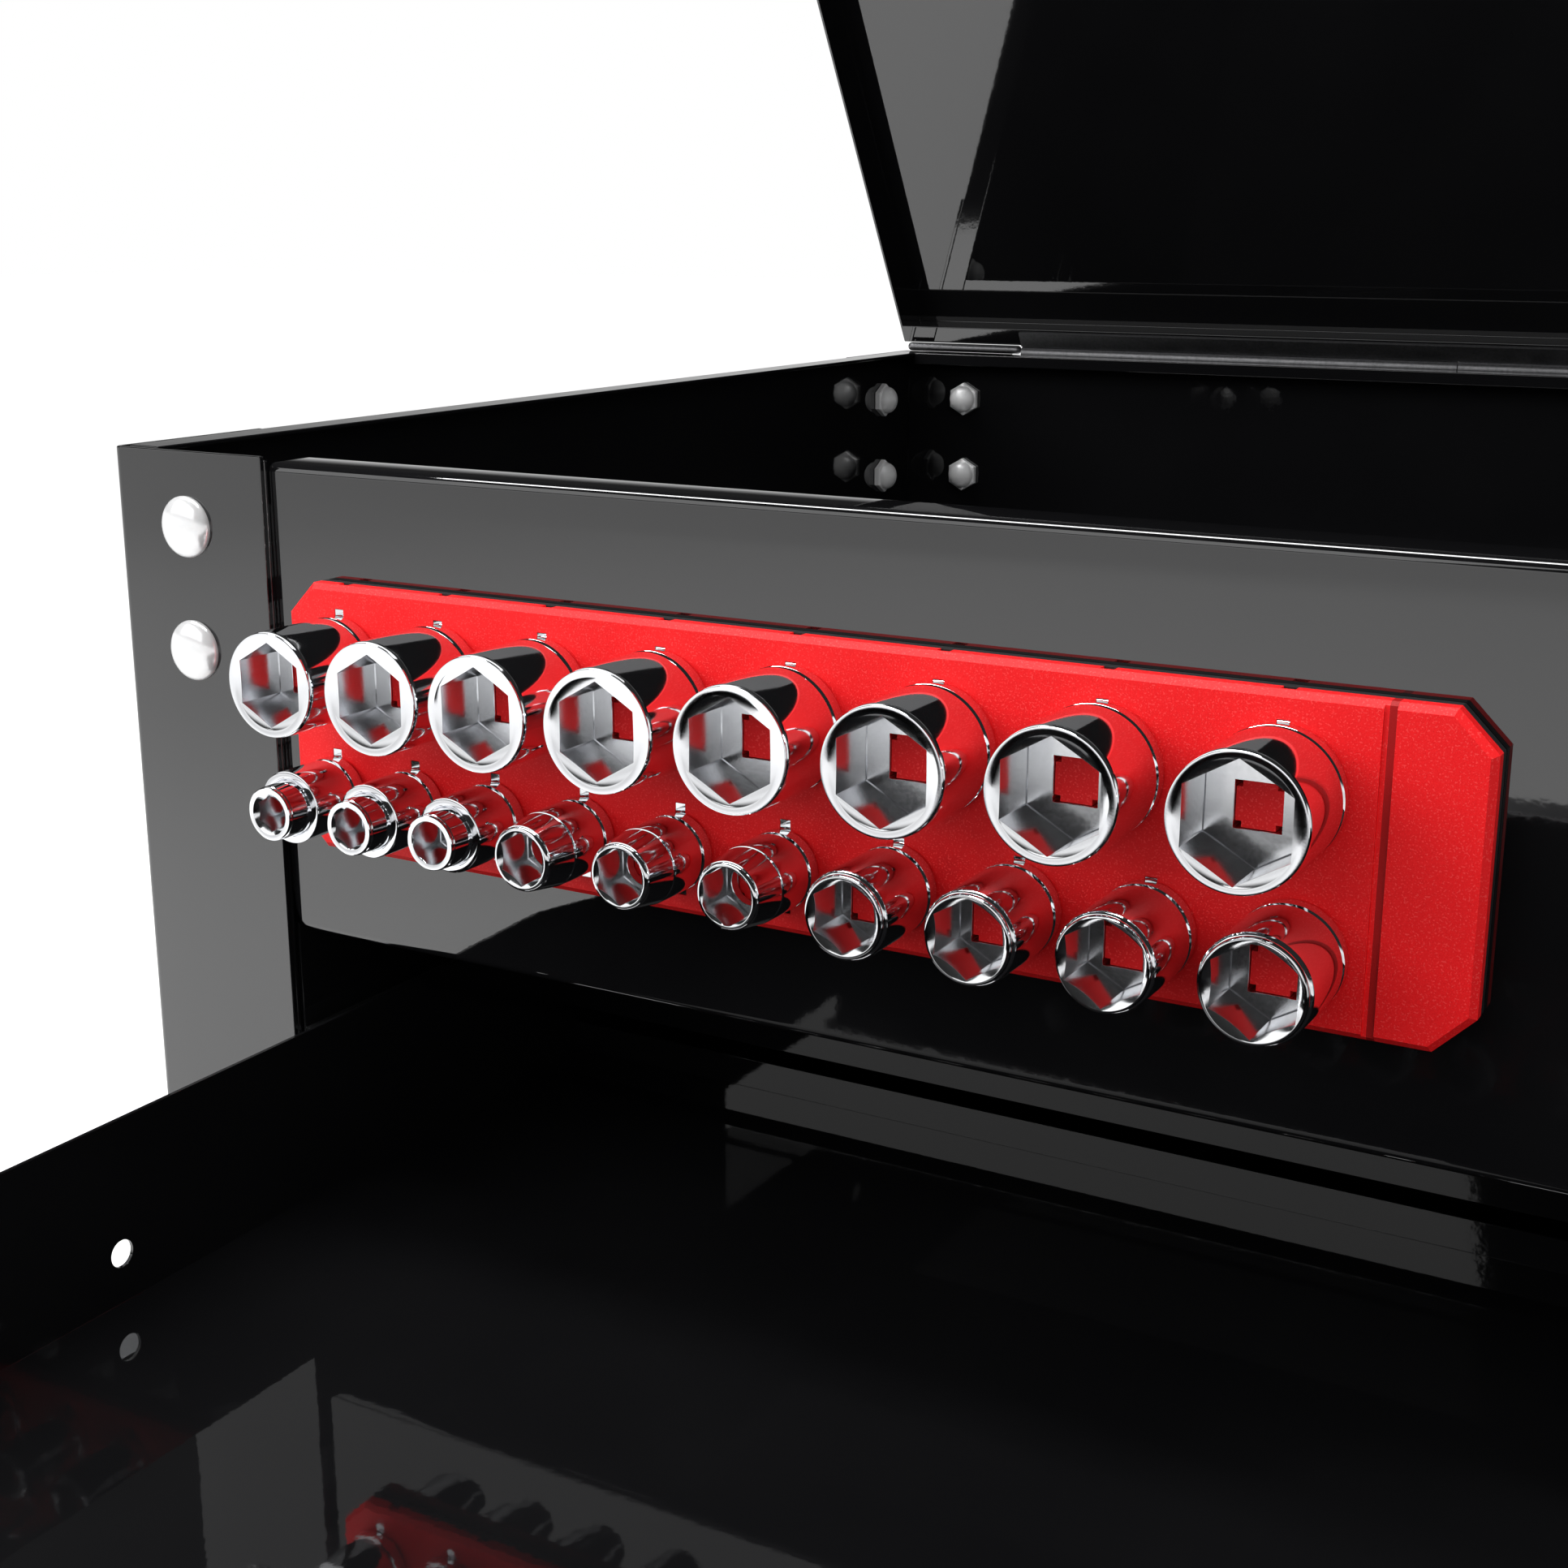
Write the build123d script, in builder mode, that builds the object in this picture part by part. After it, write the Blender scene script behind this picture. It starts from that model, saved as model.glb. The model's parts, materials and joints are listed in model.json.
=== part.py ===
"""Drawer box with a hinged lid and a socket organizer on its front panel, in millimetres.

Frame: the origin is the centre of the flat base, +X to the right, +Y from the front to the back,
+Z up. The box is drawn as it stands in use: lid propped open, top drawer pulled out.
"""

import os
from math import cos, radians, sin

from build123d import *

# ---- box: outer size and sheet metal ----
WIDTH = 660.0
DEPTH = 457.0
HEIGHT = 386.0
SHEET = 1.2  # panels
PLAY = 0.2  # between panels that slip into each other
END_PLAY = 0.5  # at a flange's ends
POST_SHEET = 1.6  # corner posts
BEND = 2.4  # outer radius of a fold
POST_BEND = 3.0
POST_FRONT_LEG = 51.6
POST_SIDE_LEG = 54.6
PANEL_FLANGE = 50.0  # side panel's flange behind the post's front leg
RIM = 12.0  # inward flange along the top of the sides and the back
RIM_LIP = 4.6  # lip turned down along the back rim

# ---- bolts that hold the posts ----
BOLT_INSET = 25.2  # from the box's corner to the bolts in the front
SIDE_BOLT_INSET = 27.3  # the same for the bolts in the sides
BACK_BOLT_INSET = 31.4  # and for those in the back
BOLT_DROPS = (19.4, 51.8)  # below the top rim
BOLT_DOME = 16.0
BOLT_DOME_RISE = 3.6
BOLT_NECK = 6.0  # square neck
NECK_HOLE = 6.4
NUT_FLATS = 12.0
NUT_HEIGHT = 7.0

# ---- till: the open compartment under the lid ----
TILL_PANEL_TOP = 1.8  # below the post's top
TILL_PANEL_BOTTOM = 125.1
TILL_PANEL_RIM = 17.0
TILL_PANEL_LIP = 8.0
TILL_PANEL_FOOT = 12.0
TILL_CORNER = 8.0
TILL_WALL = 15.0

# ---- lid and hinge ----
LID_OPEN = 59.3  # degrees, as drawn
LID_DEPTH = 16.0
LID_FLANGE = 8.0  # return along the lid's back edge, over the hinge leaf
LID_EDGE = 1.0  # broken edge round the top sheet
LID_GAP = 0.5  # from the rim to the pin, and from the pin to the shut lid's edge
HINGE_HALF = 274.0
HINGE_SHEET = 0.8
KNUCKLES = 3
KNUCKLE_RADIUS = 3.0
KNUCKLE_ROOT = 0.8  # from the pin's axis to where the leaf joins its knuckles
PIN_RADIUS = 1.5
PIN_BORE = 1.55
LEAF = 10.0
KNUCKLE_RELIEF = 3.4

# ---- drawers ----
DRAWERS = 3
DRAWER_PITCH = 82.0
FRONT_HEIGHT = 79.0
FRONT_TOP = 128.1  # below the rim, first drawer
FRONT_RETURN = 10.0
TRAY_SHEET = 1.0
TRAY_TOP = 147.3
TRAY_FLOOR = 194.4
TRAY_LENGTH = 401.3
SLIDE_SPACE = 12.7  # each side, between the tray and the liner
DRAWN = 291.7  # how far the top drawer is pulled out
WALL_HOLE = 6.8
WALL_HOLE_DROP = 181.0
WALL_HOLE_Y = -13.7
REAR_SLOT = 5.0  # height of the slot across the top tray's back wall
REAR_SLOT_RISE = 9.8  # from the tray's underside to the slot
PULL_SHEET = 1.5
PULL_REACH = 11.0
PULL_NOSE = 8.0
PULL_BEND = 3.0
BASE_GAP = 1.4  # under the lowest front
FRONT_GAP = 1.5  # at each end of a front

# ---- drawer slides ----
SLIDE_DROP = 167.0  # from the rim to the middle of the top pair
SLIDE_SETBACK = 4.5  # behind the posts' front faces
SLIDE_SHEET = 1.2
SLIDE_LIP = 1.6
OUTER_SLIDE = (27.0, 10.0)  # height, depth
MID_SLIDE = (19.4, 8.2)
INNER_SLIDE = (14.6, 8.5)
MID_GAP = 2.0  # from the liner to the middle member
SLIDE_LENGTH = 398.0

# ---- organizer ----
PLATE_LENGTH = 296.0
PLATE_HEIGHT = 68.3
PLATE_CUT = 8.1  # corner cuts at 45 degrees
COVER_THICK = 4.1
BASE_THICK = 2.5
PLATE_LEFT = -268.4
PLATE_BOTTOM = HEIGHT - 98.0
EDGE_CHAMFER = 1.4
TOP_ROW_Z = 48.1
BOTTOM_ROW_Z = 15.7
TOP_ROW_X = (17.0, 47.8, 78.6, 111.5, 145.4, 181.2, 217.9, 255.2)
BOTTOM_ROW_X = (14.0, 39.0, 63.5, 89.6, 116.4, 144.1, 172.4, 200.8, 229.9, 260.0)
CHANNEL_X = 275.6
CHANNEL_WIDTH = 2.5
CHANNEL_DEPTH = 0.6
POST_SPAN = 9.3
POST_WEB = 6.8
POST_LENGTH = 12.0
WINDOW = (2.7, 4.2)
TOP_WINDOW = 12.3  # above and below the row's centre line
BOTTOM_WINDOW = 8.9
NOTCH = (3.0, 2.0)  # for the snap fingers
NOTCH_RISE = 2.2
STRIP_THICK = 1.0
STRIP_PLAY = 0.3
POCKET_DEPTH = 1.3
MAGNET = (30.0, 12.0, 2.2)
MAGNETS = 6

# ---- sockets: outer diameters and hexagons across flats, along each row ----
TOP_OUTER = (25.8, 27.2, 27.2, 28.3, 28.3, 28.3, 28.3, 28.3)
TOP_HEX = (18.0, 18.5, 19.0, 19.5, 20.0, 20.5, 21.0, 21.5)
TOP_LENGTH = 26.0
BOTTOM_OUTER = (18.2, 18.2, 18.2, 17.9, 17.9, 17.9, 19.7, 20.6, 21.2, 22.9)
BOTTOM_HEX = (8.0, 9.0, 10.0, 11.0, 11.5, 12.0, 14.0, 15.0, 16.0, 17.0)
BOTTOM_LENGTH = 25.4
DRIVE = 9.525  # 3/8 inch square
DRIVE_DEPTH = 12.6
SEAT_GAP = 0.2
STEPPED_NOSE = (18.2, 6.7, 6.7)  # start, radius there and radius at the mouth
TAPERED_NOSE = (16.5, 8.95, 7.45)
BOTTOM_NOSES = [STEPPED_NOSE] * 3 + [TAPERED_NOSE] * 3 + [None] * 4

# ---- planes and lines worked out from the sizes above ----
HALF_W = WIDTH / 2
HALF_D = DEPTH / 2
SIDE_FACE = HALF_W - POST_SHEET  # outer face of a side panel
FLANGE_FACE = HALF_D - POST_SHEET  # outer face of its front and back flanges
PANEL_FACE = FLANGE_FACE - SHEET  # outer face of the till panel and the back panel
INNER_HALF = SIDE_FACE - BEND - PLAY  # panel ends, clear of the side panels' folds
POST_EDGE = HALF_W - POST_FRONT_LEG  # inner edge of a post, and face of the slide liners
TRAY_HALF = POST_EDGE - SLIDE_SPACE
TILL_FLOOR_Z = HEIGHT - TILL_PANEL_BOTTOM + SHEET
BASE_WALL = HEIGHT - FRONT_TOP - (DRAWERS - 1) * DRAWER_PITCH - FRONT_HEIGHT - BASE_GAP

HINGE_Y = PANEL_FACE + KNUCKLE_RELIEF
HINGE_Z = HEIGHT + LID_GAP
OPEN = radians(LID_OPEN)
LID_UP = (0, sin(OPEN), cos(OPEN))  # square to the lid's top sheet
LID_PLANE = Plane(origin=(0, HINGE_Y, HINGE_Z), x_dir=(1, 0, 0), z_dir=LID_UP)

SEAT_Y = -PANEL_FACE - PLAY / 2 - BASE_THICK - COVER_THICK  # the organizer's front face
FRONT_FACE = Plane(origin=(0, -HALF_D, 0), x_dir=(1, 0, 0), z_dir=(0, -1, 0))
BACK_FACE = Plane(origin=(0, HALF_D, 0), x_dir=(-1, 0, 0), z_dir=(0, 1, 0))
LEFT_FACE = Plane(origin=(-HALF_W, 0, 0), x_dir=(0, -1, 0), z_dir=(-1, 0, 0))
RIGHT_FACE = Plane(origin=(HALF_W, 0, 0), x_dir=(0, 1, 0), z_dir=(1, 0, 0))
BOLT_HEIGHTS = [HEIGHT - drop for drop in BOLT_DROPS]


def bolt_rows(reach):
    """Bolt places at both ends of a face, given their distance from its middle."""
    return [(side * reach, z) for side in (-1, 1) for z in BOLT_HEIGHTS]


FRONT_BOLTS = bolt_rows(HALF_W - BOLT_INSET)
BACK_BOLTS = bolt_rows(HALF_W - BACK_BOLT_INSET)
SIDE_BOLTS = bolt_rows(HALF_D - SIDE_BOLT_INSET)

os.makedirs("parts", exist_ok=True)


def save(piece, name):
    """Label a finished piece and write it to its own file."""
    piece.part.label = name
    export_step(piece.part, f"parts/{name}.step")


def folded(points, thickness=SHEET, radius=BEND):
    """Section of a folded sheet: a bent line, thickened to its left."""
    with BuildLine() as bend:
        FilletPolyline(*points, radius=radius)
        offset(amount=thickness, side=Side.LEFT)
    make_face(bend.edges())


def creased(points, thickness=SHEET):
    """The same with sharp folds, for edges that lie hidden behind another piece."""
    with BuildLine() as crease:
        Polyline(*points)
        offset(amount=thickness, side=Side.LEFT, kind=Kind.INTERSECTION)
    make_face(crease.edges())


def punch(plane, centres, width, depth):
    """Square holes through a sheet, from an outer face inwards."""
    with BuildSketch(plane) as holes:
        with Locations(*centres):
            Rectangle(width, width)
    extrude(holes.sketch, amount=-depth, mode=Mode.SUBTRACT)


def pan(plane, width, length, height, thickness):
    """Open box of folded sheet, standing on the plane."""
    with BuildSketch(plane) as outline:
        Rectangle(width, length)
    extrude(outline.sketch, amount=height)
    top = faces().sort_by(Axis(plane.origin, plane.z_dir))[-1]
    offset(amount=-thickness, openings=top)


# ======================= corner posts =======================


def left_post(end_bolts):
    """Left post as it stands at the front, with holes for the given bolts in its front leg."""
    with BuildPart() as post:
        with BuildSketch():
            folded(
                [(-HALF_W, POST_SIDE_LEG - HALF_D), (-HALF_W, -HALF_D), (-POST_EDGE, -HALF_D)],
                POST_SHEET,
                POST_BEND,
            )
        extrude(amount=HEIGHT)
        punch(FRONT_FACE, end_bolts[:2], NECK_HOLE, 2 * POST_SHEET)
        punch(LEFT_FACE, SIDE_BOLTS[2:], NECK_HOLE, 2 * POST_SHEET)
    return post


corner_post_front_left = left_post(FRONT_BOLTS)

with BuildPart() as corner_post_front_right:
    mirror(corner_post_front_left.part, about=Plane.YZ)

with BuildPart() as corner_post_back_left:
    mirror(left_post(BACK_BOLTS).part, about=Plane.XZ)

with BuildPart() as corner_post_back_right:
    mirror(corner_post_back_left.part, about=Plane.YZ)

save(corner_post_front_left, "corner_post_front_left")
save(corner_post_front_right, "corner_post_front_right")
save(corner_post_back_left, "corner_post_back_left")
save(corner_post_back_right, "corner_post_back_right")

# ======================= side and back panels =======================

RIM_STOP = FLANGE_FACE - BEND - END_PLAY  # the rim flange ends short of the panel's upright folds

with BuildPart() as side_panel_left:
    with BuildSketch():
        folded(
            [
                (PANEL_FLANGE - SIDE_FACE, FLANGE_FACE),
                (-SIDE_FACE, FLANGE_FACE),
                (-SIDE_FACE, -FLANGE_FACE),
                (PANEL_FLANGE - SIDE_FACE, -FLANGE_FACE),
            ]
        )
    extrude(amount=HEIGHT - SHEET)
    with BuildSketch(Plane.XY.offset(HEIGHT - SHEET)):
        with Locations(((RIM - HALF_W - SIDE_FACE) / 2, 0)):
            Rectangle(RIM - HALF_W + SIDE_FACE, 2 * RIM_STOP)
    extrude(amount=SHEET)
    punch(FRONT_FACE, FRONT_BOLTS[:2], NECK_HOLE, POST_SHEET + 2 * SHEET)
    punch(BACK_FACE, BACK_BOLTS[2:], NECK_HOLE, POST_SHEET + 2 * SHEET)
    punch(LEFT_FACE, SIDE_BOLTS, NECK_HOLE, POST_SHEET + 2 * SHEET)

with BuildPart() as side_panel_right:
    mirror(side_panel_left.part, about=Plane.YZ)

save(side_panel_left, "side_panel_left")
save(side_panel_right, "side_panel_right")

with BuildPart() as back_panel:
    with BuildSketch(Plane.YZ.offset(RIM - HALF_W)):
        creased(
            [
                (PANEL_FACE, HEIGHT - 2 * BEND),
                (PANEL_FACE, HEIGHT),
                (PANEL_FACE - RIM, HEIGHT),
                (PANEL_FACE - RIM, HEIGHT - RIM_LIP),
            ]
        )
    extrude(amount=2 * (HALF_W - RIM))
    with BuildSketch(BACK_FACE.offset(PANEL_FACE - HALF_D)):
        with Locations((0, (HEIGHT - SHEET) / 2)):
            Rectangle(2 * INNER_HALF, HEIGHT - SHEET)
    extrude(amount=-SHEET)
    punch(BACK_FACE, BACK_BOLTS, NECK_HOLE, POST_SHEET + 3 * SHEET)

save(back_panel, "back_panel")

with BuildPart() as base_pan:
    pan(Plane.XY, 2 * (SIDE_FACE - SHEET - PLAY), 2 * (PANEL_FACE - SHEET), BASE_WALL, SHEET)

save(base_pan, "base_pan")

# ======================= till =======================

TILL_HALF = POST_EDGE - END_PLAY  # visible face of the panel

with BuildPart() as till_front_panel:
    with BuildSketch(Plane.YZ.offset(-TILL_HALF)):
        folded(
            [
                (TILL_PANEL_RIM - PANEL_FACE, HEIGHT - TILL_PANEL_TOP - TILL_PANEL_LIP),
                (TILL_PANEL_RIM - PANEL_FACE, HEIGHT - TILL_PANEL_TOP),
                (-PANEL_FACE, HEIGHT - TILL_PANEL_TOP),
                (-PANEL_FACE, HEIGHT - TILL_PANEL_BOTTOM),
                (TILL_PANEL_FOOT - PANEL_FACE, HEIGHT - TILL_PANEL_BOTTOM),
            ]
        )
    extrude(amount=2 * TILL_HALF)
    # the two lower corners of the visible face are rounded
    with BuildSketch(FRONT_FACE):
        with Locations((0, HEIGHT - TILL_PANEL_BOTTOM + TILL_CORNER / 2)):
            Rectangle(2 * POST_EDGE, TILL_CORNER)
        with Locations((0, HEIGHT - TILL_PANEL_BOTTOM + 2 * TILL_CORNER)):
            RectangleRounded(2 * TILL_HALF, 4 * TILL_CORNER, TILL_CORNER, mode=Mode.SUBTRACT)
    extrude(amount=-2 * TILL_PANEL_RIM, mode=Mode.SUBTRACT)
    # flat ends that tuck behind the side panels' flanges and are bolted through the posts
    with BuildSketch(FRONT_FACE.offset(PANEL_FACE - HALF_D)):
        with Locations((0, HEIGHT - (TILL_PANEL_BOTTOM + TILL_PANEL_TOP) / 2)):
            Rectangle(
                2 * INNER_HALF,
                TILL_PANEL_BOTTOM - TILL_PANEL_TOP - 2 * TILL_CORNER - 2 * BEND,
            )
    extrude(amount=-SHEET)
    punch(FRONT_FACE, FRONT_BOLTS, NECK_HOLE, POST_SHEET + 3 * SHEET)

save(till_front_panel, "till_front_panel")

with BuildPart() as till_floor:
    pan(
        Plane.XY.offset(TILL_FLOOR_Z),
        2 * (SIDE_FACE - SHEET - PLAY),
        2 * (PANEL_FACE - BEND - PLAY / 2),
        TILL_WALL,
        SHEET,
    )

save(till_floor, "till_floor")

# ======================= slide liners =======================

LINER_Y = PANEL_FACE - SHEET - PLAY / 2
LINER_FLANGE = 9.6

with BuildPart() as slide_liner_left:
    with BuildSketch(Plane.XY.offset(SHEET)):
        creased(
            [
                (-POST_EDGE - LINER_FLANGE, -LINER_Y),
                (-POST_EDGE, -LINER_Y),
                (-POST_EDGE, LINER_Y),
                (-POST_EDGE - LINER_FLANGE, LINER_Y),
            ],
        )
    extrude(amount=TILL_FLOOR_Z - SHEET)
    # the base pan's front and back walls pass under the liner's flanges
    with BuildSketch(Plane.XY.offset(SHEET)):
        with Locations((-POST_EDGE, -LINER_Y), (-POST_EDGE, LINER_Y)):
            Rectangle(3 * LINER_FLANGE, 2 * SHEET)
    extrude(amount=BASE_WALL, mode=Mode.SUBTRACT)

with BuildPart() as slide_liner_right:
    mirror(slide_liner_left.part, about=Plane.YZ)

save(slide_liner_left, "slide_liner_left")
save(slide_liner_right, "slide_liner_right")

# ======================= post bolts and their nuts =======================

BOLTED_FACES = (
    (FRONT_FACE, FRONT_BOLTS),
    (BACK_FACE, BACK_BOLTS),
    (LEFT_FACE, SIDE_BOLTS),
    (RIGHT_FACE, SIDE_BOLTS),
)


def bolt_places(faces_and_centres, depth=0.0):
    """Places of the bolts on their outer faces, each looking outwards, sunk by a depth."""
    return [face * Pos(*centre, -depth) for face, centres in faces_and_centres for centre in centres]


ACROSS_STACK = POST_SHEET + 2 * SHEET  # post, side panel's flange, till or back panel
ALONG_STACK = POST_SHEET + SHEET  # post and side panel


def dome_bolt(stack):
    """Bolt with a low round head and a square neck as long as the sheets are thick."""
    with BuildPart() as bolt:
        with BuildSketch():
            Circle(BOLT_DOME / 2)
        extrude(amount=BOLT_DOME_RISE)
        with BuildSketch():
            Rectangle(BOLT_NECK, BOLT_NECK)
        extrude(amount=-stack)
    return bolt.part


def closed_nut():
    """Closed hexagon nut, seated at z = 0 and standing down."""
    with BuildPart() as hexagon_nut:
        with BuildSketch():
            RegularPolygon(NUT_FLATS / 2, 6, major_radius=False)
        extrude(amount=-NUT_HEIGHT)
    return hexagon_nut.part


across_bolt = dome_bolt(ACROSS_STACK)
along_bolt = dome_bolt(ALONG_STACK)
nut = closed_nut()

with BuildPart() as post_bolts:
    with Locations(*bolt_places(BOLTED_FACES[:2])):
        add(across_bolt)
    with Locations(*bolt_places(BOLTED_FACES[2:])):
        add(along_bolt)

with BuildPart() as post_nuts:
    with Locations(*bolt_places(BOLTED_FACES[:2], ACROSS_STACK)):
        add(nut)
    with Locations(*bolt_places(BOLTED_FACES[2:], ALONG_STACK)):
        add(nut)

save(post_bolts, "post_bolts")
save(post_nuts, "post_nuts")

# ======================= hinge =======================

KNUCKLE_STEP = 2 * HINGE_HALF / KNUCKLES
KNUCKLE_GAP = 0.4


def knuckle_centre(index):
    return -HINGE_HALF + (index + 0.5) * KNUCKLE_STEP


def hinge_leaf(face, lift, first):
    """Leaf with every second knuckle. The face's x axis is the pin, and the leaf hangs below it,
    behind the face lifted off the pin."""
    centres = [knuckle_centre(index) for index in range(first, KNUCKLES, 2)]
    knuckle_length = KNUCKLE_STEP - KNUCKLE_GAP
    with BuildPart() as leaf:
        with BuildSketch(face.offset(lift)):
            with Locations((0, -(KNUCKLE_RELIEF + LEAF) / 2)):
                Rectangle(2 * HINGE_HALF, LEAF - KNUCKLE_RELIEF)
            with Locations(*[(x, -(KNUCKLE_RELIEF + KNUCKLE_ROOT) / 2) for x in centres]):
                Rectangle(knuckle_length, KNUCKLE_RELIEF - KNUCKLE_ROOT)
        extrude(amount=-HINGE_SHEET)
        for x in centres:
            start = Vector(x - knuckle_length / 2, HINGE_Y, HINGE_Z)
            with BuildSketch(Plane(origin=start, x_dir=(0, 1, 0), z_dir=(1, 0, 0))):
                Circle(KNUCKLE_RADIUS)
            extrude(amount=knuckle_length)
        with BuildSketch(Plane(origin=(-HINGE_HALF, HINGE_Y, HINGE_Z), z_dir=(1, 0, 0))):
            Circle(PIN_BORE)
        extrude(amount=2 * HINGE_HALF, mode=Mode.SUBTRACT)
    return leaf


# the box's leaf lies outside the back panel, and the lid's under the flange
BOX_HINGE = Plane(origin=(0, HINGE_Y, HINGE_Z), x_dir=(1, 0, 0), z_dir=(0, -1, 0))
save(hinge_leaf(BOX_HINGE, KNUCKLE_RELIEF, 0), "hinge_leaf_box")
save(hinge_leaf(LID_PLANE, LID_GAP, 1), "hinge_leaf_lid")

with BuildPart() as hinge_pin:
    with BuildSketch(Plane.YZ.offset(-HINGE_HALF)):
        with Locations((HINGE_Y, HINGE_Z)):
            Circle(PIN_RADIUS)
    extrude(amount=2 * HINGE_HALF)

save(hinge_pin, "hinge_pin")

# ======================= lid =======================

LID_BACK_EDGE = -KNUCKLE_RELIEF  # in the lid's own frame, whose origin is the hinge
LID_FRONT_EDGE = -(HINGE_Y + HALF_D)

LID_LENGTH = LID_BACK_EDGE - LID_FRONT_EDGE
LID_MIDDLE = (LID_BACK_EDGE + LID_FRONT_EDGE) / 2

with BuildPart() as lid_shell:
    with BuildSketch(LID_PLANE.offset(LID_GAP)):
        with Locations((0, LID_MIDDLE)):
            Rectangle(WIDTH, LID_LENGTH)
    extrude(amount=LID_DEPTH)
    lid_axis = Axis(LID_PLANE.origin, LID_UP)
    chamfer(faces().sort_by(lid_axis)[-1].edges(), LID_EDGE)
    with BuildSketch(LID_PLANE.offset(LID_GAP + SHEET)):
        with Locations((0, LID_MIDDLE)):
            Rectangle(WIDTH - 2 * SHEET, LID_LENGTH - 2 * SHEET)
    extrude(amount=LID_DEPTH - 2 * SHEET, mode=Mode.SUBTRACT)
    # the mouth leaves a flange along the back
    with BuildSketch(LID_PLANE.offset(LID_GAP)):
        with Locations((0, LID_MIDDLE - (LID_FLANGE - SHEET) / 2)):
            Rectangle(WIDTH - 2 * SHEET, LID_LENGTH - SHEET - LID_FLANGE)
    extrude(amount=SHEET, mode=Mode.SUBTRACT)

save(lid_shell, "lid_shell")

# ======================= drawer slides =======================


def channel(side, wall_distance, size, lips, y_start, drop, opens_inwards):
    """C-shaped slide member beside one liner; wall_distance is from the liner to its web."""
    height, depth = size
    x_web = side * (POST_EDGE - wall_distance)
    reach = -side * depth if opens_inwards else side * depth
    x_low, x_high = sorted((x_web, x_web + reach))
    with BuildSketch(Plane.XZ.offset(-y_start)) as section:
        with Locations(((x_low + x_high) / 2, HEIGHT - drop)):
            Rectangle(depth, height)
            Rectangle(depth - 2 * SLIDE_SHEET, height - 2 * SLIDE_SHEET, mode=Mode.SUBTRACT)
        mouth = x_web + reach - SLIDE_SHEET / 2 * (1 if reach > 0 else -1)
        with Locations((mouth, HEIGHT - drop)):
            Rectangle(1.01 * SLIDE_SHEET, height - 2 * SLIDE_SHEET - 2 * lips, mode=Mode.SUBTRACT)
    extrude(section.sketch, amount=-SLIDE_LENGTH)


def drawer_slides(index, drawn):
    """Outer, middle and inner members of the pair of telescopic slides of one drawer."""
    drop = SLIDE_DROP + index * DRAWER_PITCH
    y_start = SLIDE_SETBACK - HALF_D
    with BuildPart() as outer:
        for side in (-1, 1):
            channel(side, 0.0, OUTER_SLIDE, SLIDE_LIP, y_start, drop, True)
    with BuildPart() as middle:
        for side in (-1, 1):
            channel(side, MID_GAP, MID_SLIDE, 0.0, y_start - drawn / 2, drop, True)
    with BuildPart() as inner:
        for side in (-1, 1):
            channel(side, SLIDE_SPACE, INNER_SLIDE, 0.0, y_start - drawn, drop, False)
    save(outer, f"drawer_{index + 1}_outer_slides")
    save(middle, f"drawer_{index + 1}_middle_slides")
    save(inner, f"drawer_{index + 1}_inner_slides")


# ======================= drawers =======================

FRONT_HALF = POST_EDGE - FRONT_GAP


def drawer(index, drawn):
    """Tray, folded front and pull of one drawer, drawn out by the given length."""
    step = index * DRAWER_PITCH
    front_y = -HALF_D - drawn
    front_top = HEIGHT - FRONT_TOP - step
    tray_front = front_y + SHEET
    with BuildPart() as tray:
        pan(
            Plane((0, tray_front + TRAY_LENGTH / 2, HEIGHT - TRAY_FLOOR - step)),
            2 * TRAY_HALF,
            TRAY_LENGTH,
            TRAY_FLOOR - TRAY_TOP,
            TRAY_SHEET,
        )
        if index == 0:
            with BuildSketch(Plane.YZ):
                with Locations((WALL_HOLE_Y - drawn, HEIGHT - WALL_HOLE_DROP)):
                    Circle(WALL_HOLE / 2)
            extrude(amount=WIDTH, both=True, mode=Mode.SUBTRACT)
            with BuildSketch(Plane.XZ.offset(-tray_front - TRAY_LENGTH)):
                with Locations((0, HEIGHT - TRAY_FLOOR + REAR_SLOT_RISE + REAR_SLOT / 2)):
                    Rectangle(2 * (TRAY_HALF - TRAY_SHEET), REAR_SLOT)
            extrude(amount=2 * TRAY_SHEET, mode=Mode.SUBTRACT)
    with BuildPart() as front:
        with BuildSketch(Plane.YZ.offset(-FRONT_HALF)):
            creased(
                [
                    (front_y + FRONT_RETURN, front_top),
                    (front_y, front_top),
                    (front_y, front_top - FRONT_HEIGHT),
                    (front_y + FRONT_RETURN, front_top - FRONT_HEIGHT),
                ]
            )
        extrude(amount=2 * FRONT_HALF)
    with BuildPart() as pull:
        with BuildSketch(Plane.YZ.offset(-FRONT_HALF)):
            folded(
                [
                    (front_y + FRONT_RETURN, front_top + PULL_SHEET),
                    (front_y - PULL_REACH, front_top + PULL_SHEET),
                    (front_y - PULL_REACH, front_top - PULL_NOSE),
                ],
                PULL_SHEET,
                PULL_BEND,
            )
        extrude(amount=2 * FRONT_HALF)
    save(tray, f"drawer_{index + 1}_tray")
    save(front, f"drawer_{index + 1}_front")
    save(pull, f"drawer_{index + 1}_pull")


for number in range(DRAWERS):
    drawn_out = DRAWN if number == 0 else 0.0
    drawer_slides(number, drawn_out)
    drawer(number, drawn_out)

# ======================= organizer =======================

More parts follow.
